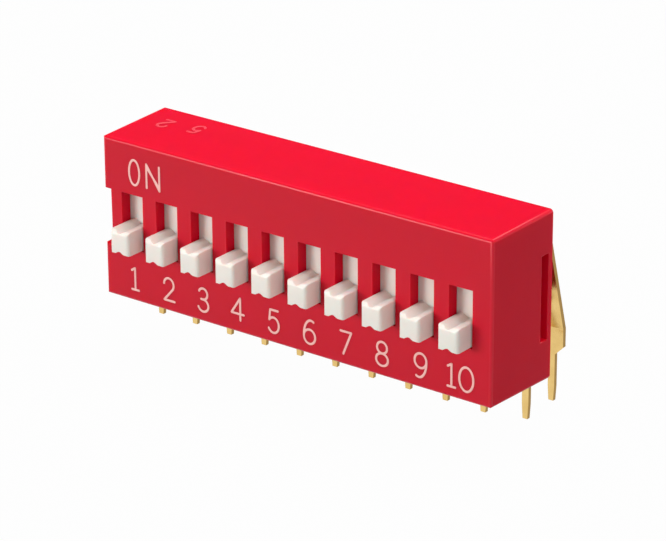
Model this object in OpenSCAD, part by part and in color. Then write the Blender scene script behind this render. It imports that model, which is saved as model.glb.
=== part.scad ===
// Right-angle slide switch for a printed circuit board: a row of small changeover switches
// in one moulded housing, each with a white slider, on three rows of gold-plated pins.
// X runs along the row with position 1 at -X, the knobs face -Y and Z is up. The origin is
// on the board, midway between the two rows of pins behind the housing. Millimetres and degrees.

/* [Row] */
// Number of switch positions
positions = 10; // [2:1:12]
// Spacing of the positions, and of the pins along each row
pitch = 2.54; // [2.4:0.01:3]

/* [Cover] */
// Height of the front face
front_h = 9.7; // [9.3:0.02:11]
// Depth from the front face to the back rim
cover_depth = 5.44; // [5.1:0.02:6.4]
// Thickness of the slotted front wall
front_wall = 0.8; // [0.6:0.05:1]
// Thickness of the end walls at the front face
end_wall = 0.79; // [0.65:0.01:1.2]
// Thickness of the long walls beside the sliders, at the front face
bay_wall = 1.14; // [0.9:0.02:1.16]
// Thickness of the long walls round the base, before the draft adds to it
rim_wall = 0.5; // [0.35:0.01:0.6]
// Depth of the slider bay, from the front wall to the seat of the base
bay_depth = 2; // [1.9:0.05:2.4]
// Mould draft of the four outer sides
draft = 1.1; // [0.5:0.1:2.5]
// Radius of the outer edges
edge_r = 0.22; // [0.05:0.01:0.3]
// Width of each knob slot
slot_w = 1.55; // [1.5:0.01:1.7]
// Height of each knob slot
slot_h = 3.34; // [3.1:0.02:3.6]
// Height of the index notch at the end of position 1
notch_h = 3.4; // [2:0.1:5]
// Reach of the index notch in from the end
notch_in = 0.54; // [0.3:0.02:0.6]
// Depth of the index notch behind the front face
notch_depth = 0.8; // [0.4:0.05:0.8]
// Height of the snap window in each end
window_h = 5; // [3:0.1:6]
// Width of the snap window, front to back
window_w = 0.64; // [0.5:0.02:0.9]
// Lip left between the snap window and the back rim
window_lip = 0.32; // [0.15:0.01:0.4]

/* [Sliders] */
// Width of the knob where it joins its plate
knob_w = 1.42; // [1.2:0.01:1.45]
// Height of the knob where it joins its plate
knob_h = 1.48; // [1.4:0.02:1.8]
// Reach of the knob beyond the front face
knob_reach = 1.2; // [0.6:0.05:2]
// Draft of the knob's sides
knob_draft = 1; // [0:0.1:2]
// Radius of the knob's upright edges
knob_edge_r = 0.24; // [0.05:0.01:0.35]
// Radius of the knob's front-to-back edges
knob_side_r = 0.12; // [0.05:0.01:0.15]
// Radius of the knob's upper front edge
knob_lip_r = 0.3; // [0.05:0.01:0.4]
// Radius of the knob's lower front edge
knob_foot_r = 0.09; // [0.05:0.01:0.3]
// Depth of the grooves for a pen tip, above and below
grip_depth = 0.2; // [0.08:0.01:0.3]
// Width of the grooves for a pen tip
grip_w = 0.96; // [0.6:0.02:1.1]
// Thickness of the slider's plate
plate_t = 0.7; // [0.5:0.05:0.8]
// Depth of the pocket that holds the contact, behind the plate
pocket_depth = 0.6; // [0.3:0.05:0.8]
// Thickness of the pocket's upper and lower walls
pocket_wall = 0.25; // [0.2:0.05:0.5]

/* [Contacts] */
// Width of the bridging contact
contact_w = 1.2; // [0.8:0.05:1.3]
// Thickness of the bridging contact's sheet
contact_t = 0.12; // [0.08:0.01:0.16]
// Distance between the two feet of a bridging contact
foot_span = 1.4; // [1.2:0.05:1.6]
// Length of the turned-up toe beyond each foot
toe = 0.25; // [0.2:0.01:0.3]
// Lift of the toe's end off the pads
toe_lift = 0.18; // [0.1:0.01:0.3]
// Inner radius of the contact's bends
contact_bend_r = 0.12; // [0.06:0.01:0.15]
// Half length of the flat that lies on the slider
flat_half = 0.3; // [0.2:0.02:0.4]

/* [Base] */
// Thickness of the ribs between neighbouring sliders
rib_t = 0.3; // [0.2:0.02:0.36]
// Inset of the base's back from the cover's rim
base_inset = 0.04; // [0:0.01:0.2]
// Reach of each snap lug beyond the base's end
lug_reach = 0.4; // [0.2:0.02:0.5]
// Length of the flat top of a snap lug, front to back
lug_flat = 0.15; // [0.1:0.01:0.3]

/* [Terminals] */
// Thickness of the terminal sheet
terminal_t = 0.25; // [0.2:0.01:0.3]
// Width of a terminal above its shoulder
terminal_w = 1.5; // [1.1:0.05:1.8]
// Inner radius of the bends
bend_r = 0.3; // [0.2:0.02:0.36]
// Width of a pin below the shoulder
pin_w = 0.45; // [0.4:0.01:0.6]
// Width of a pin at its tip
tip_w = 0.33; // [0.2:0.01:0.4]
// Length of the tapered tip
tip_taper = 0.9; // [0.4:0.05:1.5]
// Height of the shoulder's outer corner above the board
shoulder_z = 0.26; // [0.1:0.02:0.4]
// Wall of the base that is left above the upper terminals and below the lower ones
exit_wall = 0.265; // [0.2:0.005:0.35]
// From the back rim to the middle of the nearer row of pins behind it
row_gap = 0.98; // [0.9:0.02:1.6]
// Spacing of the two rows of pins behind the housing
row_spacing = 2.54; // [2.3:0.02:3.2]
// From the back rim to the top bend of an upper terminal
arm_reach = 1.49; // [1.3:0.01:2]
// Height above the board where an upper terminal turns upright
crank_z = 1.35; // [0.9:0.05:2]
// Length of the nearer row's pins below the board's face
front_pin = 3.32; // [2.5:0.01:4.5]
// Length of the farther row's pins below the board's face
rear_pin = 3.12; // [2.5:0.01:4.5]
// Length of the common terminals' pins below the board's face
common_pin = 1.75; // [1.2:0.05:3.5]
// Width of the leg between a common terminal's pad and its pin
leg_w = 0.65; // [0.5:0.01:0.75]
// Gap between that leg and the lower pad beside it
leg_gap = 0.15; // [0.1:0.01:0.3]
// From mid height to the middle of each gap between the three pads of a position
pad_split = 0.75; // [0.6:0.05:0.9]
// Gap between neighbouring pads of a position
pad_gap = 0.4; // [0.3:0.02:0.5]

/* [Clearances] */
// Running gap round a slider's plate
slide_clear = 0.05; // [0.02:0.01:0.08]
// Gap between a slider's plate and the ribs beside it
rib_clear = 0.07; // [0.04:0.01:0.1]
// Gap left at the wall when a slider reaches its stop
stop_clear = 0.03; // [0.02:0.01:0.06]
// Gap between the knob and the slot's end when a slider reaches its stop
slot_end_clear = 0.04; // [0.02:0.01:0.2]
// Gap round the base in the cover
fit_clear = 0.03; // [0.02:0.01:0.06]
// Gap round a terminal in the base, and behind a contact
insert_clear = 0.02; // [0.01:0.01:0.04]
// Gap between a contact's feet and the pads
wipe_clear = 0.03; // [0.02:0.01:0.06]
// Gap round a contact in its pocket
pocket_clear = 0.05; // [0.03:0.01:0.08]

/* [Hidden] */
// Straight steps in each rounded edge, each bend and half of each pen groove
arc_steps = 8;
// Overrun of every cut, past the face that it opens
cut = 0.5;

// Places along Y, front to back
rim_y = -row_spacing / 2 - row_gap;
front_y = rim_y - cover_depth;
wall_y = front_y + front_wall;
plate_y = wall_y + slide_clear;
plate_back_y = plate_y + plate_t;
seat_y = wall_y + bay_depth;
base_y = seat_y + fit_clear;
base_back_y = rim_y - base_inset;
pad_y = base_y + terminal_t / 2;
front_row_y = -row_spacing / 2;
rear_row_y = row_spacing / 2;
arm_y = rim_y + arm_reach;
window_back_y = rim_y - window_lip;
window_front_y = window_back_y - window_w;

// Places along X and Z
spread = cover_depth * tan(draft);
mid_z = front_h / 2 + spread;
bay_half_l = positions * pitch / 2;
front_half_l = bay_half_l + end_wall;
bay_half_h = front_h / 2 - bay_wall;
pocket_half_h = front_h / 2 - rim_wall;
base_half_l = bay_half_l - fit_clear;
base_half_h = pocket_half_h - fit_clear;
exit_half = base_half_h - exit_wall - insert_clear - terminal_t / 2;
common_half = pad_split - pad_gap / 2;
leg_x = (leg_w - terminal_w) / 2;
leg_end_z = mid_z - base_half_h + exit_wall;

// The slider and its travel, from off at the bottom to on at the top
travel = slot_h - knob_h - 2 * slot_end_clear;
off_z = mid_z - travel / 2;
plate_w = pitch - rib_t - 2 * rib_clear;
plate_half_h = bay_half_h - travel / 2 - stop_clear;
contact_half = foot_span / 2 + toe;

// Centre lines of the bent strips, as [y, z] corners
upper_path = [
    [pad_y, mid_z + pad_split + pad_gap / 2],
    [pad_y, mid_z + exit_half],
    [arm_y, mid_z + exit_half],
    [rear_row_y, crank_z],
    [rear_row_y, -rear_pin]
];
lower_path = [
    [pad_y, mid_z - pad_split - pad_gap / 2],
    [pad_y, mid_z - exit_half],
    [front_row_y, mid_z - exit_half],
    [front_row_y, -front_pin]
];
contact_top_y = plate_back_y + insert_clear + contact_t / 2;
contact_foot_y = base_y - wipe_clear - contact_t / 2;
contact_path = [
    [contact_foot_y - toe_lift, off_z - contact_half],
    [contact_foot_y, off_z - foot_span / 2],
    [contact_top_y, off_z - flat_half],
    [contact_top_y, off_z + flat_half],
    [contact_foot_y, off_z + foot_span / 2],
    [contact_foot_y - toe_lift, off_z + contact_half]
];

// Points along an arc, from one angle to another
function arc(centre, r, from, to) =
    [for (k = [0 : arc_steps])
        let (angle = from + (to - from) * k / arc_steps)
        centre + r * [cos(angle), sin(angle)]];

// Direction of run i of a bent strip, from +Y towards +Z
function heading(path, i) = atan2(path[i + 1].y - path[i].y, path[i + 1].x - path[i].x);

// Left-hand normal of a direction
function left_of(angle) = [-sin(angle), cos(angle)];

// Angle that a bent strip turns through at corner i, from -180 to 180
function turn(path, i) =
    let (change = heading(path, i) - heading(path, i - 1))
    change > 180 ? change - 360 : change < -180 ? change + 360 : change;

// Centre of the bend at corner i, for a radius at the middle of the sheet
function bend_centre(path, i, r) =
    let (angle = heading(path, i - 1), side = sign(turn(path, i)))
    path[i] - r * tan(abs(turn(path, i)) / 2) * [cos(angle), sin(angle)] + side * r * left_of(angle);

// One side of a bent strip, at an offset to the left of its centre line
function strip_side(path, offset, r) = concat(
    [path[0] + offset * left_of(heading(path, 0))],
    [for (i = [1 : len(path) - 2])
        let (side = sign(turn(path, i)), from = heading(path, i - 1) - side * 90)
        each arc(bend_centre(path, i, r), r - side * offset, from, from + turn(path, i))],
    [path[len(path) - 1] + offset * left_of(heading(path, len(path) - 2))]
);

function reversed(points) = [for (i = [len(points) - 1 : -1 : 0]) points[i]];

// A strip of sheet metal bent along a path of [y, z] corners, with an inner radius
module strip(path, width, thickness, inner_r) {
    middle_r = inner_r + thickness / 2;
    translate([-width / 2, 0, 0]) rotate([90, 0, 90]) linear_extrude(width)
        polygon(concat(strip_side(path, thickness / 2, middle_r),
                       reversed(strip_side(path, -thickness / 2, middle_r))));
}

// A box that is centred on X and Z, from one Y to another
module slab(half_x, y0, y1, half_z, z = mid_z) {
    translate([-half_x, y0, z - half_z]) cube([2 * half_x, y1 - y0, 2 * half_z]);
}

// Distance from the middle to the centre of a drafted outline's rounded corner
function corner_x(front_half, angle, r) = front_half - r * (1 - sin(angle)) / cos(angle);

// Outline that widens with the draft from a front edge, with a radius at each end of that edge
module drafted_outline(front_half, depth, angle, low_r, high_r) {
    back_half = front_half + depth * tan(angle);
    polygon(concat(
        arc([-corner_x(front_half, angle, low_r), low_r], low_r, 180 + angle, 270),
        arc([corner_x(front_half, angle, high_r), high_r], high_r, -90, -angle),
        [[back_half, depth], [-back_half, depth]]
    ));
}

// An outline whose first axis becomes Z and second Y, extruded both ways along X
module extrude_along_x(half_l) {
    translate([-half_l, 0, 0]) rotate([90, 0, 90]) linear_extrude(2 * half_l)
        mirror([1, -1]) children();
}

// What rounding takes off the cover's front-to-back edge at +X and +Z
module long_edge_cut() {
    translate([front_half_l, front_y, mid_z + front_h / 2])
        rotate([atan(tan(draft) * cos(draft)) - 90, 0, -draft])
            translate([0, 0, -cut]) linear_extrude(cover_depth + 2 * cut)
                polygon(concat(arc([-edge_r, edge_r], edge_r, -90, 0),
                               [[cut, edge_r], [cut, -cut], [-edge_r, -cut]]));
}

// The cover's outside: drafted on all four sides, with its outer edges rounded
module cover_block() {
    difference() {
        intersection() {
            translate([0, front_y, 0]) linear_extrude(2 * mid_z)
                drafted_outline(front_half_l, cover_depth, draft, edge_r, edge_r);
            translate([0, front_y, mid_z]) extrude_along_x(front_half_l + spread + cut)
                drafted_outline(front_h / 2, cover_depth, draft, edge_r, edge_r);
        }
        for (end = [0, 1], side = [0, 1])
            mirror([end, 0, 0]) translate([0, 0, mid_z]) mirror([0, 0, side])
                translate([0, 0, -mid_z]) long_edge_cut();
    }
}

module at_position(i) {
    translate([(i - (positions + 1) / 2) * pitch, 0, 0]) children();
}

// Slot in the cover's lower wall, open at the rim, where a common terminal's pin goes in
module pin_slot() {
    slot_front_y = base_y - insert_clear;
    translate([leg_x - pin_w / 2 - fit_clear, slot_front_y, -cut])
        cube([pin_w + 2 * fit_clear, rim_y - slot_front_y + cut, mid_z - pocket_half_h + 2 * cut]);
}

module cover() {
    color("crimson") difference() {
        cover_block();
        slab(bay_half_l, wall_y, seat_y + cut, bay_half_h);
        slab(bay_half_l, seat_y, rim_y + cut, pocket_half_h);
        for (i = [1 : positions])
            at_position(i) slab(slot_w / 2, front_y - cut, wall_y + cut, slot_h / 2);
        translate([-front_half_l - cut, front_y - cut, mid_z - notch_h / 2])
            cube([notch_in + cut, notch_depth + cut, notch_h]);
        slab(front_half_l + spread + cut, window_front_y, window_back_y, window_h / 2);
        for (i = [1 : positions]) at_position(i) pin_slot();
    }
}

// Ramped catch on the base's +X end, which springs into the cover's window
module snap_lug() {
    lug_front_y = window_front_y + fit_clear;
    lug_back_y = window_back_y - fit_clear;
    translate([0, 0, mid_z - window_h / 2 + fit_clear]) linear_extrude(window_h - 2 * fit_clear)
        polygon([
            [base_half_l - cut, lug_front_y], [base_half_l, lug_front_y],
            [base_half_l + lug_reach, lug_back_y - lug_flat],
            [base_half_l + lug_reach, lug_back_y], [base_half_l - cut, lug_back_y]
        ]);
}

module base() {
    color("firebrick") difference() {
        union() {
            slab(base_half_l, base_y, base_back_y, base_half_h);
            for (end = [0, 1]) mirror([end, 0, 0]) snap_lug();
            intersection() {
                slab(base_half_l, plate_y, base_y + cut, bay_half_h - fit_clear);
                for (i = [0 : positions])
                    at_position(i + 0.5) slab(rib_t / 2, plate_y, base_y + cut, bay_half_h);
            }
        }
        for (i = [1 : positions], path = [upper_path, lower_path])
            at_position(i) strip(path, terminal_w + 2 * insert_clear,
                                 terminal_t + 2 * insert_clear, bend_r - insert_clear);
        for (i = [1 : positions]) at_position(i) common_blank(insert_clear);
    }
}

// Upper half of the knob's section, as [x, z] points about its middle, with the pen groove
function knob_top() =
    let (round_x = knob_w / 2 - knob_side_r, round_z = knob_h / 2 - knob_side_r)
    concat(
        arc([round_x, round_z], knob_side_r, 0, 90),
        [for (k = [arc_steps : -1 : -arc_steps])
            let (share = k / arc_steps)
            [share * grip_w / 2, knob_h / 2 - grip_depth * (1 + cos(180 * share)) / 2]],
        arc([-round_x, round_z], knob_side_r, 90, 180)
    );

// Knob with a bow-tie front, drafted from its root at the plate
module knob() {
    length = plate_y - (front_y - knob_reach);
    tip_half_w = knob_w / 2 - length * tan(knob_draft);
    tip_half_h = knob_h / 2 - length * tan(knob_draft);
    intersection() {
        translate([0, front_y - knob_reach, off_z - knob_h]) linear_extrude(2 * knob_h)
            drafted_outline(tip_half_w, length + plate_t / 2, knob_draft, knob_edge_r, knob_edge_r);
        translate([0, front_y - knob_reach, off_z]) extrude_along_x(knob_w)
            drafted_outline(tip_half_h, length + plate_t / 2, knob_draft, knob_foot_r, knob_lip_r);
        translate([0, plate_back_y, off_z]) rotate([90, 0, 0])
            linear_extrude(length + plate_t + cut)
                polygon(concat(knob_top(), [for (p = knob_top()) -p]));
    }
}

module slider() {
    pocket_half_w = contact_w / 2 + pocket_clear;
    pocket_half = contact_half + pocket_clear;
    color("ivory") {
        knob();
        difference() {
            union() {
                slab(plate_w / 2, plate_y, plate_back_y, plate_half_h, off_z);
                slab(plate_w / 2, plate_y, plate_back_y + pocket_depth,
                     pocket_half + pocket_wall, off_z);
            }
            slab(pocket_half_w, plate_back_y, plate_back_y + pocket_depth + cut,
                 pocket_half, off_z);
        }
    }
}

module contact() {
    color("goldenrod") strip(contact_path, contact_w, contact_t, contact_bend_r);
}

// What is cut off one side of a strip to leave the shoulder, the pin and its tapered tip
module pin_cheek(tip_z) {
    pin_z = shoulder_z - (terminal_w - pin_w) / 2;
    outer = terminal_w / 2 + cut;
    translate([0, rear_row_y + 2 * cut, 0]) rotate([90, 0, 0])
        linear_extrude(row_spacing + 4 * cut) polygon([
            [outer, shoulder_z + cut], [pin_w / 2, pin_z], [pin_w / 2, tip_z + tip_taper],
            [tip_w / 2, tip_z], [tip_w / 2, tip_z - cut], [outer, tip_z - cut]
        ]);
}

// A strip bent along a path, with a pin at its end
module bent_terminal(path) {
    difference() {
        strip(path, terminal_w, terminal_t, bend_r);
        for (side = [0, 1]) mirror([side, 0, 0]) pin_cheek(path[len(path) - 1].y);
    }
}

module upper_terminal() {
    color("gold") bent_terminal(upper_path);
}

// Lower terminal, cut away beside the leg of the common terminal
module lower_terminal() {
    room_w = leg_w + leg_gap + cut;
    room_t = terminal_t + leg_gap + cut;
    color("gold") difference() {
        bent_terminal(lower_path);
        translate([-terminal_w / 2 - cut, base_y - cut, 0]) cube([room_w, room_t, mid_z]);
    }
}

// Outline of a common terminal as [x, z] points, grown by a gap: a pad across the position,
// a leg down one side and a pin with a tapered tip
function common_outline(gap) =
    let (pad = terminal_w / 2 + gap, leg = leg_w / 2 + gap, pin = pin_w / 2 + gap,
         tip = tip_w / 2 + gap, top_z = mid_z + common_half + gap, under_z = mid_z - common_half - gap,
         neck_z = leg_end_z - gap, taper_z = tip_taper - common_pin)
    [
        [-pad, top_z], [pad, top_z], [pad, under_z], [leg_x + leg, under_z],
        [leg_x + leg, neck_z], [leg_x + pin, neck_z], [leg_x + pin, taper_z],
        [leg_x + tip, -common_pin], [leg_x - tip, -common_pin],
        [leg_x - pin, taper_z], [leg_x - pin, neck_z], [-pad, neck_z]
    ];

// A flat common terminal, or with a gap the room that it takes in the base
module common_blank(gap = 0) {
    translate([0, base_y + terminal_t + gap, 0]) rotate([90, 0, 0])
        linear_extrude(terminal_t + 2 * gap) polygon(common_outline(gap));
}

module common_terminal() {
    color("gold") common_blank();
}

cover();
base();
for (i = [1 : positions]) at_position(i) {
    slider();
    contact();
    upper_terminal();
    lower_terminal();
    common_terminal();
}
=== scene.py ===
"""Looks of a right-angle DIP switch: red moulded housing, white slide knobs, gold-plated pins.

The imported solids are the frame. Each solid that shows gets a copy with eased edges and a finish,
and the printed and moulded characters are swept along their strokes. Metres, Z up, knobs face -Y.
"""

import logging
import math
from dataclasses import dataclass, field, replace
from enum import Enum
from typing import Any

import bmesh
import bpy
from mathutils import Matrix, Vector


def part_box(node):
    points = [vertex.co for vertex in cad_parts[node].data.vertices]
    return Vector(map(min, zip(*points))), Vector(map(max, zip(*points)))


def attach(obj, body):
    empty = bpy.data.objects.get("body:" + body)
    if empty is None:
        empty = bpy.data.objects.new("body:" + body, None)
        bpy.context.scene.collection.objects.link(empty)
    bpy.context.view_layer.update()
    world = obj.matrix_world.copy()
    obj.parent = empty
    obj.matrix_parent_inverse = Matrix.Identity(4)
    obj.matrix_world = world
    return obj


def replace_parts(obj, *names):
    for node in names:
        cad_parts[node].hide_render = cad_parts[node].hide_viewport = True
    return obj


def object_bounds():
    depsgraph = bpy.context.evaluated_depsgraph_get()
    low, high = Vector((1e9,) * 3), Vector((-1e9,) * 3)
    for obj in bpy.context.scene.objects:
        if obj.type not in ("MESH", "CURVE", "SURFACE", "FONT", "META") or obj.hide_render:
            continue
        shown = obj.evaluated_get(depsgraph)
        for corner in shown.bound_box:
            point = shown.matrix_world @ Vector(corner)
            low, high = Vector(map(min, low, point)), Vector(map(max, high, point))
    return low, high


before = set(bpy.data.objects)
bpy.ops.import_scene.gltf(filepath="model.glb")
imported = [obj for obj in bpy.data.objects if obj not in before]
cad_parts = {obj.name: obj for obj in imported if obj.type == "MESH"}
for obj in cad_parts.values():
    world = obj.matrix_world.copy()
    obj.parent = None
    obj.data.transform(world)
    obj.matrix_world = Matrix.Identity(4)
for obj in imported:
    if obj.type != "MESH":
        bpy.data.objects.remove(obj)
CAD_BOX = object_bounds()

log = logging.getLogger("dip_switch")

MM = 0.001
# The body of the frame that everything but the sliders and their contacts rides on
HOUSING = "housing"
# Places of a Mix node's colour sockets, because its other types share their names
MIX_FIRST, MIX_SECOND, MIX_RESULT = 6, 7, 2

Point = tuple[float, float]
Stroke = list[Point]


def linear(code: str) -> tuple[float, float, float, float]:
    """Turns an sRGB hex colour into linear red, green, blue and a full alpha.

    Args:
        code: Six hex digits after a hash.

    Returns:
        The four channels that a colour socket takes.
    """
    # The sRGB standard's curve: a straight toe, and a power above it
    toe_end, toe_slope, offset, power = 0.04045, 12.92, 0.055, 2.4
    shares = [int(code[i : i + 2], 16) / 255 for i in (1, 3, 5)]
    red, green, blue = (
        s / toe_slope if s <= toe_end else ((s + offset) / (1 + offset)) ** power for s in shares
    )
    return red, green, blue, 1.0


def per_metre(size_mm: float) -> float:
    """Scale of a texture whose cells are this many millimetres wide, on Object coordinates."""
    return 1 / (size_mm * MM)


def add_node(
    tree: bpy.types.NodeTree, kind: str, inputs: dict[str | int, Any] | None = None, **settings: Any
) -> bpy.types.Node:
    """Adds a node with its settings, values and links.

    Args:
        tree: The tree that gets the node.
        kind: Blender's name of the node's type.
        inputs: For each input, by name or index, a value or the output socket to link.
        settings: The node's own properties.

    Returns:
        The new node.
    """
    node = tree.nodes.new(kind)
    for name, value in settings.items():
        setattr(node, name, value)
    for key, value in (inputs or {}).items():
        if isinstance(value, bpy.types.NodeSocket):
            tree.links.new(value, node.inputs[key])
        else:
            node.inputs[key].default_value = value
    return node


def empty_material(name: str) -> tuple[bpy.types.Material, bpy.types.NodeTree]:
    """Makes a node material with no nodes in it.

    Args:
        name: The material's name.

    Returns:
        The material and its tree.
    """
    material = bpy.data.materials.new(name)
    material.use_nodes = True
    material.node_tree.nodes.clear()
    return material, material.node_tree


@dataclass(frozen=True)
class MouldedPlastic:
    """Injection-moulded thermoplastic: a satin skin with fine grain and faint clouds of flow.

    Attributes:
        name: Common name of the plastic and how it was made.
        colour: Colour of the plastic.
        cloud: Colour in the clouds that the flow leaves.
        roughness: Lowest and highest roughness of the skin.
        specular: Specular level of the skin.
        grain_mm: Width of the mould's grain.
        grain_depth_mm: Depth of the mould's grain.
        cloud_mm: Width of the clouds.
        glow: Share of light that goes through the skin.
        glow_mm: How far that light travels.
        glow_tint: Shares of that distance for red, green and blue.
        cloud_octaves: Finer layers in the clouds.
        cloud_fineness: Share that each finer layer of the clouds keeps.
        grain_octaves: Finer layers in the grain.
        grain_fineness: Share that each finer layer of the grain keeps.
    """

    name: str
    colour: str
    cloud: str
    roughness: tuple[float, float]
    specular: float
    grain_mm: float
    grain_depth_mm: float
    cloud_mm: float
    glow: float = 0.0
    glow_mm: float = 0.1
    glow_tint: tuple[float, float, float] = (1.0, 0.8, 0.65)
    cloud_octaves: float = 3.0
    cloud_fineness: float = 0.55
    grain_octaves: float = 2.0
    grain_fineness: float = 0.6

    def material(self) -> bpy.types.Material:
        """Builds the material.

        Returns:
            A material on Object coordinates.
        """
        material, tree = empty_material(self.name)
        smoothest, roughest = self.roughness
        place = add_node(tree, "ShaderNodeTexCoord").outputs["Object"]
        clouds = add_node(
            tree,
            "ShaderNodeTexNoise",
            {
                "Vector": place,
                "Scale": per_metre(self.cloud_mm),
                "Detail": self.cloud_octaves,
                "Roughness": self.cloud_fineness,
            },
        )
        tint = add_node(
            tree,
            "ShaderNodeMix",
            {
                "Factor": clouds.outputs["Fac"],
                MIX_FIRST: linear(self.colour),
                MIX_SECOND: linear(self.cloud),
            },
            data_type="RGBA",
        )
        grain = add_node(
            tree,
            "ShaderNodeTexNoise",
            {
                "Vector": place,
                "Scale": per_metre(self.grain_mm),
                "Detail": self.grain_octaves,
                "Roughness": self.grain_fineness,
            },
        )
        sheen = add_node(
            tree,
            "ShaderNodeMapRange",
            {"Value": clouds.outputs["Fac"], "To Min": smoothest, "To Max": roughest},
        )
        relief = add_node(
            tree,
            "ShaderNodeBump",
            {"Height": grain.outputs["Fac"], "Strength": 1.0, "Distance": self.grain_depth_mm * MM},
        )
        skin = add_node(
            tree,
            "ShaderNodeBsdfPrincipled",
            {
                "Base Color": tint.outputs[MIX_RESULT],
                "Roughness": sheen.outputs["Result"],
                "Specular IOR Level": self.specular,
                "Subsurface Weight": self.glow,
                "Subsurface Radius": self.glow_tint,
                "Subsurface Scale": self.glow_mm * MM,
                "Normal": relief.outputs["Normal"],
            },
        )
        add_node(tree, "ShaderNodeOutputMaterial", {"Surface": skin.outputs["BSDF"]})
        return material


@dataclass(frozen=True)
class PlatedStrip:
    """Stamped copper-alloy strip with a plated skin: bright metal with fine rolling lines.

    Attributes:
        name: Common name of the metal and how it was made.
        colour: Colour of the plating.
        thin: Colour where the plating is thin.
        roughness: Lowest and highest roughness of the plating.
        line_mm: Width of the rolling lines, drawn coarser than the real ones so that they show.
        line_depth_mm: Depth of the rolling lines.
        patch_mm: Width of the patches where the plating is thin.
        line_stretch: Length of the rolling lines as a multiple of their width.
        line_octaves: Finer layers in the rolling lines.
        patch_octaves: Finer layers in the patches.
    """

    name: str
    colour: str
    thin: str
    roughness: tuple[float, float]
    line_mm: float
    line_depth_mm: float
    patch_mm: float
    line_stretch: float = 10.0
    line_octaves: float = 2.0
    patch_octaves: float = 3.0

    def material(self) -> bpy.types.Material:
        """Builds the material.

        Returns:
            A material on Object coordinates, with lines that run down the strip.
        """
        material, tree = empty_material(self.name)
        smoothest, roughest = self.roughness
        place = add_node(tree, "ShaderNodeTexCoord").outputs["Object"]
        along = 1 / self.line_stretch
        drawn_out = add_node(
            tree, "ShaderNodeMapping", {"Vector": place, "Scale": (1.0, along, along)}
        ).outputs["Vector"]
        lines = add_node(
            tree,
            "ShaderNodeTexNoise",
            {"Vector": drawn_out, "Scale": per_metre(self.line_mm), "Detail": self.line_octaves},
        )
        patches = add_node(
            tree,
            "ShaderNodeTexNoise",
            {"Vector": place, "Scale": per_metre(self.patch_mm), "Detail": self.patch_octaves},
        )
        tint = add_node(
            tree,
            "ShaderNodeMix",
            {
                "Factor": patches.outputs["Fac"],
                MIX_FIRST: linear(self.colour),
                MIX_SECOND: linear(self.thin),
            },
            data_type="RGBA",
        )
        sheen = add_node(
            tree,
            "ShaderNodeMapRange",
            {"Value": lines.outputs["Fac"], "To Min": smoothest, "To Max": roughest},
        )
        relief = add_node(
            tree,
            "ShaderNodeBump",
            {"Height": lines.outputs["Fac"], "Strength": 1.0, "Distance": self.line_depth_mm * MM},
        )
        skin = add_node(
            tree,
            "ShaderNodeBsdfPrincipled",
            {
                "Base Color": tint.outputs[MIX_RESULT],
                "Metallic": 1.0,
                "Roughness": sheen.outputs["Result"],
                "Normal": relief.outputs["Normal"],
            },
        )
        add_node(tree, "ShaderNodeOutputMaterial", {"Surface": skin.outputs["BSDF"]})
        return material


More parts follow.
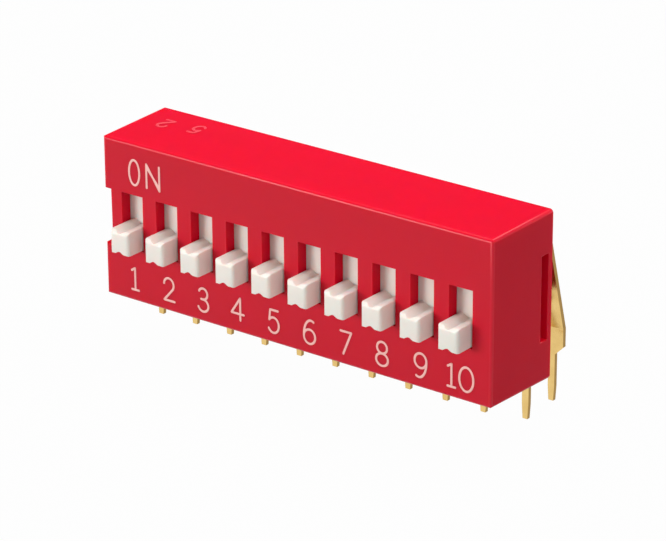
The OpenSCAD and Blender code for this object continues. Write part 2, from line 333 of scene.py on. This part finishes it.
class Finish(Enum):
    """The finishes of the switch."""

    # Glass-filled polyester, moulded in a spark-eroded tool: saturated red with a satin skin.
    COVER = MouldedPlastic(
        name="red_polyester_moulded",
        colour="#CE0024",
        cloud="#C40A26",
        roughness=(0.28, 0.38),
        specular=0.06,
        grain_mm=0.12,
        grain_depth_mm=0.0012,
        cloud_mm=2.4,
        glow=0.7,
        glow_mm=0.7,
        glow_tint=(1.0, 0.1, 0.12),
    )
    # The cover's front, from a part of the tool that is textured for the print: a paler haze.
    FRONT = replace(
        COVER,
        name="red_polyester_moulded_textured",
        roughness=(0.36, 0.46),
        specular=0.2,
        grain_depth_mm=0.0014,
    )
    # The cover's rounded edges: a lighter, shinier copy of the cover's plastic, a painted highlight
    # along them.
    EDGE = replace(
        COVER,
        name="red_polyester_painted_edge_highlight",
        colour="#D2062A",
        cloud="#CA0A2A",
        roughness=(0.28, 0.34),
        specular=0.3,
        grain_depth_mm=0.0006,
    )
    # The same polyester in the base, from a coarser tool, so a little duller.
    BASE = MouldedPlastic(
        name="red_polyester_moulded_coarse",
        colour="#BE0026",
        cloud="#B40024",
        roughness=(0.45, 0.58),
        specular=0.14,
        grain_mm=0.16,
        grain_depth_mm=0.003,
        cloud_mm=1.8,
    )
    # Unfilled nylon, moulded: warm white, a soft sheen and a little light through its edges.
    SLIDER = MouldedPlastic(
        name="white_nylon_moulded",
        colour="#ECE8E0",
        cloud="#E5E0D7",
        roughness=(0.36, 0.46),
        specular=0.4,
        grain_mm=0.1,
        grain_depth_mm=0.0008,
        cloud_mm=0.9,
        glow=0.55,
        glow_mm=0.4,
        glow_tint=(1.0, 0.5, 0.4),
    )
    # The cover's plastic on the raised mould numbers, painted paler than the face round it as a
    # painted highlight.
    MARK = MouldedPlastic(
        name="red_polyester_painted_mark_highlight",
        colour="#E2404E",
        cloud="#D63444",
        roughness=(0.3, 0.4),
        specular=0.3,
        grain_mm=0.08,
        grain_depth_mm=0.0008,
        cloud_mm=0.6,
    )
    # Pigment pressed into the face from a foil: matt, with the red below showing through it.
    PRINT = MouldedPlastic(
        name="white_foil_hot_stamped",
        colour="#FBC6BE",
        cloud="#F0B2AA",
        roughness=(0.45, 0.6),
        specular=0.3,
        grain_mm=0.08,
        grain_depth_mm=0.001,
        cloud_mm=0.3,
    )
    # Gold over nickel on brass strip, stamped and bent: warm mirror with rolling lines.
    TERMINAL = PlatedStrip(
        name="gold_plated_brass_stamped",
        colour="#F2D28C",
        thin="#D8B26A",
        roughness=(0.08, 0.18),
        line_mm=0.05,
        line_depth_mm=0.0006,
        patch_mm=0.8,
    )
    # The same strip where the press sheared it: bare brass under thin gold, duller and browner.
    SHEARED = PlatedStrip(
        name="brass_sheared_edge",
        colour="#B08C48",
        thin="#94733A",
        roughness=(0.3, 0.45),
        line_mm=0.05,
        line_depth_mm=0.001,
        patch_mm=0.3,
    )
    # Gold on rolled phosphor bronze, bent to a spring: redder and duller than the pins.
    CONTACT = PlatedStrip(
        name="gold_plated_bronze_spring",
        colour="#E6B868",
        thin="#D09C50",
        roughness=(0.28, 0.38),
        line_mm=0.04,
        line_depth_mm=0.0008,
        patch_mm=0.5,
    )

    def material(self) -> bpy.types.Material:
        """The finish's material, built the first time that it is asked for."""
        return bpy.data.materials.get(self.value.name) or self.value.material()


class Slot(Enum):
    """The record's material slots."""

    COVER = "cover_red"
    BASE = "base_red"
    SLIDER = "slider_white"
    TERMINAL = "terminal_gold"


def applied(piece: bpy.types.Object) -> bpy.types.Object:
    """Turns a piece and its modifiers into a plain mesh.

    Args:
        piece: A mesh object with live modifiers.

    Returns:
        The same object, with none.
    """
    depsgraph = bpy.context.evaluated_depsgraph_get()
    mesh = bpy.data.meshes.new_from_object(piece.evaluated_get(depsgraph))
    piece.modifiers.clear()
    piece.data = mesh
    mesh.name = piece.name
    return piece


@dataclass(frozen=True)
class EasedEdges:
    """How the sharp edges of a moulded or stamped piece are broken.

    Attributes:
        width_mm: Width of the broken edge.
        segments: Steps across it.
        sharp_deg: Smallest turn between two faces that counts as an edge.
        eased_deg: Smallest turn of an edge that is broken.
        flat_deg: Largest turn between two triangles of one flat face.
        merge_mm: Distance under which corners are one.
        room_widths: Room that a broken edge needs to end in, as a multiple of its width.
    """

    width_mm: float
    segments: int = 3
    sharp_deg: float = 32.0
    eased_deg: float = 32.0
    flat_deg: float = 0.3
    merge_mm: float = 0.0005
    room_widths: float = 2.0

    def copy_of(self, node: str, piece_name: str) -> bpy.types.Object:
        """Copies a CAD node with its flat faces whole and its outer edges broken.

        Args:
            node: Name of the CAD node.
            piece_name: Name of the new piece.

        Returns:
            The new piece, a plain mesh in the same place.
        """
        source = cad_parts[node].data
        mesh = bpy.data.meshes.new(piece_name)
        mesh.from_pydata(
            [v.co[:] for v in source.vertices], [], [p.vertices[:] for p in source.polygons]
        )
        shell = bmesh.new()
        shell.from_mesh(mesh)
        bmesh.ops.remove_doubles(shell, verts=shell.verts[:], dist=self.merge_mm * MM)
        bmesh.ops.dissolve_limit(
            shell,
            angle_limit=math.radians(self.flat_deg),
            verts=shell.verts[:],
            edges=shell.edges[:],
        )
        weight = shell.edges.layers.float.new("bevel_weight_edge")
        for edge in shell.edges:
            turn = math.degrees(edge.calc_face_angle(0.0))
            edge.smooth = turn <= self.sharp_deg
            if turn > self.eased_deg and edge.is_convex and self.has_room(edge):
                edge[weight] = 1.0
        for face in shell.faces:
            face.smooth = True
        shell.to_mesh(mesh)
        shell.free()
        piece = bpy.data.objects.new(piece_name, mesh)
        bpy.context.scene.collection.objects.link(piece)
        bevel = piece.modifiers.new("broken_edges", "BEVEL")
        bevel.limit_method = "WEIGHT"
        bevel.width = self.width_mm * MM
        bevel.segments = self.segments
        bevel.use_clamp_overlap = False
        normals = piece.modifiers.new("flat_faces", "WEIGHTED_NORMAL")
        normals.keep_sharp = True
        return applied(piece)

    def has_room(self, edge: bmesh.types.BMEdge) -> bool:
        """Tells whether an edge's neighbours are long enough for the broken edge to end on them.

        Args:
            edge: A sharp edge of the shell.

        Returns:
            True if each edge at its ends where two faces turn is longer than that room.
        """
        least = self.room_widths * self.width_mm * MM
        return all(
            near.calc_length() > least
            for corner in edge.verts
            for near in corner.link_edges
            if near is not edge and near.calc_face_angle(0.0) > math.radians(self.flat_deg)
        )


def dress(piece: bpy.types.Object, finish: Finish, body: str) -> bpy.types.Object:
    """Gives a piece its finish and the body that it rides on.

    Args:
        piece: The finished mesh.
        finish: Its finish.
        body: Name of the CAD body.

    Returns:
        The same piece.
    """
    piece.data.materials.clear()
    piece.data.materials.append(finish.material())
    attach(piece, body)
    log.info("%s rides on %s in %s", piece.name, body, finish.value.name)
    return piece


@dataclass
class Housing:
    """The cover and the base that closes its back.

    Attributes:
        cover_edges: How the cover's edges are broken.
        base_edges: How the base's edges are broken.
        cover_finishes: The finishes on the cover, the main one first; the second paints a highlight
            on the rounded edges.
        flat_share: Least share of a flat face's normal that lies along one axis.
    """

    cover_edges: EasedEdges = EasedEdges(width_mm=0.045)
    base_edges: EasedEdges = EasedEdges(width_mm=0.03, segments=2)
    cover_finishes: tuple[Finish, ...] = (Finish.COVER, Finish.EDGE, Finish.FRONT)
    flat_share: float = 0.97

    def build(self) -> None:
        """Copies and dresses the cover and the base."""
        cover = self.cover_edges.copy_of("cover", "moulded_cover")
        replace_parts(dress(cover, Finish.COVER, HOUSING), "cover")
        for finish in self.cover_finishes[1:]:
            cover.data.materials.append(finish.material())
        for face in cover.data.polygons:
            face.material_index = self.cover_finishes.index(self.cover_finish(face.normal))
        base = self.base_edges.copy_of("base", "moulded_base")
        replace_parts(dress(base, Finish.BASE, HOUSING), "base")

    def cover_finish(self, normal: Vector) -> Finish:
        """Picks the finish of one face of the cover.

        Args:
            normal: The face's normal.

        Returns:
            The rounded edges' painted-highlight finish, the front's or the main one.
        """
        if max(map(abs, normal)) < self.flat_share:
            return Finish.EDGE
        return Finish.FRONT if normal.y < -self.flat_share else Finish.COVER


@dataclass
class SliderBank:
    """The sliders with their knobs, and the contacts that they carry.

    Attributes:
        edges: How the sliders' edges are broken.
    """

    edges: EasedEdges = EasedEdges(width_mm=0.025, segments=2, eased_deg=80.0)

    @property
    def count(self) -> int:
        """Number of positions in the frame."""
        return sum(name.startswith("slider_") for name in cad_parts)

    def build(self) -> None:
        """Copies and dresses each slider, and gives each contact its finish."""
        for i in range(1, self.count + 1):
            slider = self.edges.copy_of(f"slider_{i}", f"moulded_slider_{i}")
            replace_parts(dress(slider, Finish.SLIDER, f"switch_{i}"), f"slider_{i}")
            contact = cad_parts[f"contact_{i}"]
            contact.data.materials.clear()
            contact.data.materials.append(Finish.CONTACT.material())
            log.info("%s keeps its solid in %s", contact.name, Finish.CONTACT.value.name)


@dataclass
class TerminalRows:
    """The two rows of bent terminals and the row of flat ones.

    Attributes:
        edges: How the strip's edges are broken.
        rows: What the names of each row's nodes start with.
        sheared_share: Least share of a sheared face's normal that lies along X.
    """

    edges: EasedEdges = EasedEdges(width_mm=0.02, segments=2)
    rows: tuple[str, ...] = ("upper_terminal_", "lower_terminal_", "common_terminal_")
    sheared_share: float = 0.9

    def build(self) -> None:
        """Copies and dresses each terminal."""
        for node in sorted(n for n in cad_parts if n.startswith(self.rows)):
            strip = self.edges.copy_of(node, f"plated_{node}")
            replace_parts(dress(strip, Finish.TERMINAL, HOUSING), node)
            strip.data.materials.append(Finish.SHEARED.material())
            for face in strip.data.polygons:
                face.material_index = int(abs(face.normal.x) > self.sheared_share)


def arc(centre: Point, radii: Point, start_deg: float, end_deg: float, steps: int = 20) -> Stroke:
    """Points along part of an ellipse.

    Args:
        centre: Its centre.
        radii: Its half width and half height.
        start_deg: Angle of the first point, anticlockwise from the right.
        end_deg: Angle of the last point.
        steps: Number of straight steps.

    Returns:
        The points in order.
    """
    angles = [math.radians(start_deg + (end_deg - start_deg) * k / steps) for k in range(steps + 1)]
    return [
        (centre[0] + radii[0] * math.cos(a), centre[1] + radii[1] * math.sin(a)) for a in angles
    ]


def half_turn(strokes: list[Stroke]) -> list[Stroke]:
    """Turns a character upside down in its unit box."""
    return [[(1 - x, 1 - y) for x, y in stroke] for stroke in strokes]


RING = [arc((0.5, 0.5), (0.5, 0.53), 0, 360, 36)]
SIX = [
    arc((0.5, 0.29), (0.5, 0.32), 0, 360, 30),
    arc((0.62, 0.34), (0.62, 0.69), 180, 68),
]
# Single-stroke characters in a unit box, each with its width as a share of its height
GLYPHS: dict[str, tuple[float, list[Stroke]]] = {
    "0": (0.69, RING),
    "1": (0.38, [[(0.5, 1), (0.5, 0)], [(0.02, 0.88), (0.5, 1)], [(0, 0), (1, 0)]]),
    "2": (
        0.58,
        [arc((0.48, 0.73), (0.46, 0.3), 175, -38) + [(0.02, 0)], [(0.02, 0), (1, 0)]],
    ),
    "3": (
        0.56,
        [
            arc((0.47, 0.78), (0.42, 0.25), 155, -90),
            arc((0.47, 0.25), (0.5, 0.28), 90, -160),
            [(0.28, 0.53), (0.47, 0.53)],
        ],
    ),
    "4": (0.66, [[(0.72, 0), (0.72, 1)], [(0.72, 1), (0, 0.28)], [(0, 0.28), (1, 0.28)]]),
    "5": (
        0.57,
        [
            [(0.9, 1), (0.18, 1)],
            [(0.18, 1), (0.1, 0.54)],
            arc((0.48, 0.32), (0.5, 0.35), 140, -150),
        ],
    ),
    "6": (0.59, SIX),
    "7": (0.55, [[(0, 1), (1, 1)], [(1, 1), (0.26, 0)]]),
    "8": (
        0.6,
        [
            arc((0.5, 0.775), (0.42, 0.255), 0, 360, 30),
            arc((0.5, 0.245), (0.5, 0.275), 0, 360, 30),
        ],
    ),
    "9": (0.59, half_turn(SIX)),
    "O": (0.53, RING),
    "N": (
        0.66,
        [[(0, 0), (0, 1)], [(0, 1), (1, 0)], [(0.02, 0.86), (0.98, 0.14)], [(1, 0), (1, 1)]],
    ),
}


class Face(Enum):
    """The face that a line of characters stands on, as the turn from the page to the part."""

    FRONT = Matrix.Rotation(math.radians(90), 4, "X")
    TOP_FROM_BEHIND = Matrix.Rotation(math.radians(180), 4, "Z")


@dataclass(frozen=True)
class CharacterLine:
    """A short line of characters on one face of the cover.

    Attributes:
        text: The characters.
        height_mm: Height between the middles of the strokes.
        gap_mm: Gap between neighbouring characters.
        middle: Middle of the line on the part, in metres.
    """

    text: str
    height_mm: float
    gap_mm: float
    middle: Vector

    def strokes(self) -> list[Stroke]:
        """Lays the characters side by side about the origin.

        Returns:
            The strokes on the page, in metres.
        """
        widths = [GLYPHS[c][0] * self.height_mm for c in self.text]
        left = -(sum(widths) + self.gap_mm * (len(widths) - 1)) / 2
        laid: list[Stroke] = []
        for character, width in zip(self.text, widths):
            for stroke in GLYPHS[character][1]:
                laid.append(
                    [((left + x * width) * MM, (y - 0.5) * self.height_mm * MM) for x, y in stroke]
                )
            left += width + self.gap_mm
        return laid


@dataclass(frozen=True)
class CharacterStyle:
    """How a line of characters was put on the cover.

    Attributes:
        face: The face that it stands on.
        stroke_mm: Width of its strokes.
        crown: Height of a stroke as a share of its half width.
        finish: Its finish.
        slot: The record's material slot; not used.
    """

    face: Face
    stroke_mm: float
    crown: float
    finish: Finish
    slot: Slot


@dataclass
class Characters:
    """The stamped word and position numbers on the front, and the raised mould numbers on top.

    Attributes:
        stamped: How the word and the position numbers were made.
        moulded: How the mould numbers were made, with a paler finish as a painted highlight.
        number_height_mm: Height of the position numbers.
        number_below_mid_mm: Their middles below the middle of the front.
        number_pitch_mm: Distance between neighbouring numbers.
        number_shift_mm: Shift of the whole row to the right.
        number_gap_mm: Gap between the digits of one number.
        number_nudges_mm: Numbers that stand out of line, each with its shift right and up.
        word: The word at the on end of the slots.
        word_height_mm: Its height.
        word_above_mid_mm: Its middle above the middle of the front.
        word_gap_mm: Gap between its letters.
        word_middle_mm: Its middle to the right of the part's.
        mould_height_mm: Height of the mould numbers.
        mould_numbers: Each mould number, with its place to the right and behind the front.
        wall_draft_deg: Fall of the top towards the front.
        bead_sides: Sides of the bead along a stroke.
        ball_rings: Rings of the balls that round a stroke's ends.
        tree: The sweep that all lines share.
    """

    stamped: CharacterStyle = CharacterStyle(
        face=Face.FRONT, stroke_mm=0.14, crown=0.2, finish=Finish.PRINT, slot=Slot.SLIDER
    )
    # The mould numbers' finish is painted paler than the top as a painted highlight
    moulded: CharacterStyle = CharacterStyle(
        face=Face.TOP_FROM_BEHIND, stroke_mm=0.17, crown=0.35, finish=Finish.MARK, slot=Slot.COVER
    )
    number_height_mm: float = 1.33
    number_below_mid_mm: float = 3.5
    number_pitch_mm: float = 2.52
    number_shift_mm: float = 0.02
    number_gap_mm: float = 0.26
    number_nudges_mm: tuple[tuple[int, Point], ...] = (
        (1, (0.0, 0.04)),
        (4, (-0.05, 0.1)),
        (8, (-0.06, 0.0)),
        (10, (0.12, -0.03)),
    )
    word: str = "ON"
    word_height_mm: float = 1.42
    word_above_mid_mm: float = 3.07
    word_gap_mm: float = 0.53
    word_middle_mm: float = -10.45
    mould_height_mm: float = 1.1
    mould_numbers: tuple[tuple[str, float, float], ...] = (("2", -11.7, 3.42), ("5", -9.6, 3.72))
    wall_draft_deg: float = 1.1
    bead_sides: int = 12
    ball_rings: int = 8
    tree: bpy.types.NodeTree = field(init=False)

    def __post_init__(self) -> None:
        """Builds the sweep that all lines share."""
        self.tree = self.stroke_sweep()

    def stroke_sweep(self) -> bpy.types.NodeTree:
        """Builds the node tree that sweeps a low round bead along each stroke.

        Returns:
            A tree with inputs for the stroke's width, its crown and its finish.
        """
        tree = bpy.data.node_groups.new("stroke_sweep", "GeometryNodeTree")
        sockets = tree.interface
        sockets.new_socket("Geometry", in_out="INPUT", socket_type="NodeSocketGeometry")
        sockets.new_socket("Stroke Width", in_out="INPUT", socket_type="NodeSocketFloat")
        sockets.new_socket("Crown", in_out="INPUT", socket_type="NodeSocketFloat")
        sockets.new_socket("Finish", in_out="INPUT", socket_type="NodeSocketMaterial")
        sockets.new_socket("Geometry", in_out="OUTPUT", socket_type="NodeSocketGeometry")
        given = add_node(tree, "NodeGroupInput").outputs
        radius = add_node(
            tree, "ShaderNodeMath", {0: given["Stroke Width"], 1: 2.0}, operation="DIVIDE"
        ).outputs[0]
        path = add_node(tree, "GeometryNodeMeshToCurve", {"Mesh": given["Geometry"]}).outputs[0]
        ring = add_node(
            tree,
            "GeometryNodeCurvePrimitiveCircle",
            {"Resolution": self.bead_sides, "Radius": radius},
        )
        bead = add_node(
            tree,
            "GeometryNodeCurveToMesh",
            {"Curve": path, "Profile Curve": ring.outputs["Curve"]},
        )
        ball = add_node(
            tree,
            "GeometryNodeMeshUVSphere",
            {"Segments": self.bead_sides, "Rings": self.ball_rings, "Radius": radius},
        )
        ends = add_node(tree, "GeometryNodeCurveEndpointSelection")
        round_ends = add_node(
            tree,
            "GeometryNodeInstanceOnPoints",
            {
                "Points": path,
                "Selection": ends.outputs["Selection"],
                "Instance": ball.outputs["Mesh"],
            },
        )
        both = add_node(tree, "GeometryNodeJoinGeometry", {0: bead.outputs["Mesh"]})
        tree.links.new(round_ends.outputs["Instances"], both.inputs[0])
        solid = add_node(tree, "GeometryNodeRealizeInstances", {0: both.outputs[0]})
        height = add_node(tree, "ShaderNodeCombineXYZ", {"X": 1.0, "Y": 1.0, "Z": given["Crown"]})
        low = add_node(
            tree,
            "GeometryNodeTransform",
            {"Geometry": solid.outputs[0], "Scale": height.outputs["Vector"]},
        )
        smooth = add_node(tree, "GeometryNodeSetShadeSmooth", {"Geometry": low.outputs[0]})
        finished = add_node(
            tree,
            "GeometryNodeSetMaterial",
            {"Geometry": smooth.outputs[0], "Material": given["Finish"]},
        )
        add_node(tree, "NodeGroupOutput", {"Geometry": finished.outputs[0]})
        return tree

    def sweep(self, name: str, line: CharacterLine, style: CharacterStyle) -> None:
        """Makes one line of characters as a piece on the housing.

        Args:
            name: Name of the piece.
            line: Its characters and its place.
            style: How it was made.
        """
        corners: list[tuple[float, float, float]] = []
        links: list[tuple[int, int]] = []
        for stroke in line.strokes():
            first = len(corners)
            corners += [(x, y, 0.0) for x, y in stroke]
            links += [(k, k + 1) for k in range(first, len(corners) - 1)]
        mesh = bpy.data.meshes.new(name)
        mesh.from_pydata(corners, links, [])
        piece = bpy.data.objects.new(name, mesh)
        bpy.context.scene.collection.objects.link(piece)
        modifier = piece.modifiers.new("strokes", "NODES")
        modifier.node_group = self.tree
        values = {
            "Stroke Width": style.stroke_mm * MM,
            "Crown": style.crown,
            "Finish": style.finish.material(),
        }
        for item in self.tree.interface.items_tree:
            if item.in_out == "INPUT" and item.name in values:
                modifier[item.identifier] = values[item.name]
        applied(piece)
        piece.data.transform(Matrix.Translation(line.middle) @ style.face.value)
        dress(piece, style.finish, HOUSING)

    def build(self) -> None:
        """Makes the word, the position numbers and the mould numbers."""
        low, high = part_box("cover")
        mid_z = (low.z + high.z) / 2
        at = Vector((self.word_middle_mm * MM, low.y, mid_z + self.word_above_mid_mm * MM))
        word = CharacterLine(self.word, self.word_height_mm, self.word_gap_mm, at)
        self.sweep("stamped_word", word, self.stamped)
        count = SliderBank().count
        nudges = dict(self.number_nudges_mm)
        for i in range(1, count + 1):
            right, up = nudges.get(i, (0.0, 0.0))
            x = (i - (count + 1) / 2) * self.number_pitch_mm + self.number_shift_mm + right
            at = Vector((x * MM, low.y, mid_z + (up - self.number_below_mid_mm) * MM))
            number = CharacterLine(str(i), self.number_height_mm, self.number_gap_mm, at)
            self.sweep(f"stamped_number_{i}", number, self.stamped)
        for text, x_mm, behind_front_mm in self.mould_numbers:
            y = low.y + behind_front_mm * MM
            fall = (high.y - y) * math.tan(math.radians(self.wall_draft_deg))
            at = Vector((x_mm * MM, y, high.z - fall))
            mark = CharacterLine(text, self.mould_height_mm, 0.0, at)
            self.sweep(f"mould_number_{text}", mark, self.moulded)


@dataclass(frozen=True)
class SoftBox:
    """A soft box that faces the part.

    Attributes:
        name: Name of the lamp.
        towards: Direction from the part to the box.
        distance_mm: Distance from the part.
        width_mm: Its width.
        height_mm: Its height.
        watts: Its power.
    """

    name: str
    towards: tuple[float, float, float]
    distance_mm: float
    width_mm: float
    height_mm: float
    watts: float

    def hang(self, aim: Vector) -> None:
        """Hangs the box so that it faces a point.

        Args:
            aim: The point, in metres.
        """
        data = bpy.data.lights.new(self.name, "AREA")
        data.shape = "RECTANGLE"
        data.size = self.width_mm * MM
        data.size_y = self.height_mm * MM
        data.energy = self.watts
        lamp = bpy.data.objects.new(self.name, data)
        towards = Vector(self.towards).normalized()
        lamp.location = aim + towards * self.distance_mm * MM
        lamp.rotation_mode = "QUATERNION"
        lamp.rotation_quaternion = towards.to_track_quat("Z", "Y")
        bpy.context.scene.collection.objects.link(lamp)


@dataclass
class Studio:
    """Camera, floor and soft light.

    Attributes:
        azimuth_deg: The camera's place to the right of the front.
        elevation_deg: Its place above the horizon.
        roll_deg: Its turn about its own axis.
        distance_mm: Its distance from what it aims at.
        aim_mm: The point that the camera and the soft boxes aim at.
        lens_mm: Its focal length.
        sensor_mm: Width of its sensor.
        clip_parts: Parts of that distance, of which the nearest one is clipped.
        floor_mm: Radius and rise of each ring of the floor.
        floor_steps: Steps round a ring.
        floor_white: Colour of the paper as it throws light back.
        camera_white_share: Share of plain white in the paper that the camera and mirrors see.
        world_colour: Colour of the fill from all round.
        world_level: Strength of the fill.
        boxes: The soft boxes.
    """

    azimuth_deg: float = 37.473
    elevation_deg: float = 22.363
    roll_deg: float = -0.267
    distance_mm: float = 187.33
    aim_mm: tuple[float, float, float] = (1.927, -6.379, 4.855)
    lens_mm: float = 184.33
    sensor_mm: float = 36.0
    clip_parts: float = 10.0
    floor_mm: tuple[Point, ...] = (
        (550.0, 0.0),
        (750.0, 25.0),
        (930.0, 100.0),
        (1050.0, 200.0),
    )
    floor_steps: int = 64
    floor_white: str = "#8A8A8A"
    camera_white_share: float = 0.98
    world_colour: str = "#FFFFFF"
    world_level: float = 0.11
    boxes: tuple[SoftBox, ...] = (
        SoftBox("overhead_soft_box", (0.06, 0.2, 0.97), 350.0, 300.0, 300.0, 1.93),
        SoftBox("front_soft_box", (-0.48, -0.87, 0.16), 350.0, 170.0, 105.0, 0.8),
        SoftBox("side_soft_box", (0.72, -0.6, 0.3), 350.0, 220.0, 210.0, 0.35),
        SoftBox("back_soft_box", (0.3, 0.9, 0.28), 350.0, 420.0, 180.0, 0.175),
        SoftBox("left_soft_box", (-0.93, 0.1, 0.33), 350.0, 300.0, 180.0, 0.13),
    )

    def build(self) -> None:
        """Makes the camera, the floor and the lights."""
        self.camera()
        self.floor()
        self.lights()
        bpy.context.scene.view_settings.view_transform = "Standard"

    def camera(self) -> None:
        """Places the camera at the photograph's angle."""
        azimuth, elevation = math.radians(self.azimuth_deg), math.radians(self.elevation_deg)
        back = Vector(
            (
                math.sin(azimuth) * math.cos(elevation),
                -math.cos(azimuth) * math.cos(elevation),
                math.sin(elevation),
            )
        )
        right = Vector((math.cos(azimuth), math.sin(azimuth), 0.0))
        data = bpy.data.cameras.new("camera")
        data.sensor_width = self.sensor_mm
        data.lens = self.lens_mm
        data.clip_start = self.distance_mm * MM / self.clip_parts
        camera = bpy.data.objects.new("camera", data)
        turn = Matrix((right, back.cross(right), back)).transposed().to_4x4()
        place = Matrix.Translation(Vector(self.aim_mm) * MM + back * self.distance_mm * MM)
        camera.matrix_world = place @ turn @ Matrix.Rotation(math.radians(self.roll_deg), 4, "Z")
        bpy.context.scene.collection.objects.link(camera)
        bpy.context.scene.camera = camera

    def floor(self) -> None:
        """Lays a white paper floor at the tips of the pins, which sweeps up all round."""
        z = CAD_BOX[0].z
        turns = [math.tau * k / self.floor_steps for k in range(self.floor_steps)]
        around = [(math.cos(turn), math.sin(turn)) for turn in turns]
        sheet = bmesh.new()
        rings = [
            [sheet.verts.new((radius * MM * x, radius * MM * y, z + rise * MM)) for x, y in around]
            for radius, rise in self.floor_mm
        ]
        sheet.faces.new(rings[0])
        for inner, outer in zip(rings, rings[1:]):
            for k in range(self.floor_steps):
                sheet.faces.new((inner[k - 1], outer[k - 1], outer[k], inner[k]))
        for face in sheet.faces:
            face.smooth = True
        mesh = bpy.data.meshes.new("paper_floor")
        sheet.to_mesh(mesh)
        sheet.free()
        floor = bpy.data.objects.new("paper_floor", mesh)
        mesh.materials.append(self.paper())
        bpy.context.scene.collection.objects.link(floor)

    def paper(self) -> bpy.types.Material:
        """Builds the paper, which the camera and mirrors see as white with the part's soft shadow.

        Returns:
            The floor's material.
        """
        material, tree = empty_material("white_paper_floor")
        rays = add_node(tree, "ShaderNodeLightPath").outputs
        seen = add_node(
            tree,
            "ShaderNodeMath",
            {0: rays["Is Camera Ray"], 1: rays["Is Glossy Ray"]},
            operation="MAXIMUM",
        )
        seen = add_node(
            tree,
            "ShaderNodeMath",
            {0: seen.outputs[0], 1: rays["Is Transmission Ray"]},
            operation="MAXIMUM",
        )
        share = add_node(
            tree,
            "ShaderNodeMath",
            {0: seen.outputs[0], 1: self.camera_white_share},
            operation="MULTIPLY",
        )
        lit = add_node(tree, "ShaderNodeBsdfDiffuse", {"Color": linear(self.floor_white)})
        white = add_node(tree, "ShaderNodeEmission", {"Strength": 1.0})
        mixed = add_node(
            tree,
            "ShaderNodeMixShader",
            {0: share.outputs[0], 1: lit.outputs[0], 2: white.outputs[0]},
        )
        add_node(tree, "ShaderNodeOutputMaterial", {"Surface": mixed.outputs[0]})
        return material

    def lights(self) -> None:
        """Hangs the soft boxes and fills from all round."""
        world = bpy.data.worlds.new("studio")
        world.use_nodes = True
        world.node_tree.nodes.clear()
        fill = add_node(
            world.node_tree,
            "ShaderNodeBackground",
            {"Color": linear(self.world_colour), "Strength": self.world_level},
        )
        add_node(world.node_tree, "ShaderNodeOutputWorld", {"Surface": fill.outputs[0]})
        bpy.context.scene.world = world
        for box in self.boxes:
            box.hang(Vector(self.aim_mm) * MM)


def main() -> None:
    """Builds the switch and its studio in order."""
    logging.basicConfig(level=logging.INFO, format="%(message)s")
    Studio().build()
    Housing().build()
    SliderBank().build()
    TerminalRows().build()
    Characters().build()


if __name__ == "__main__":
    main()
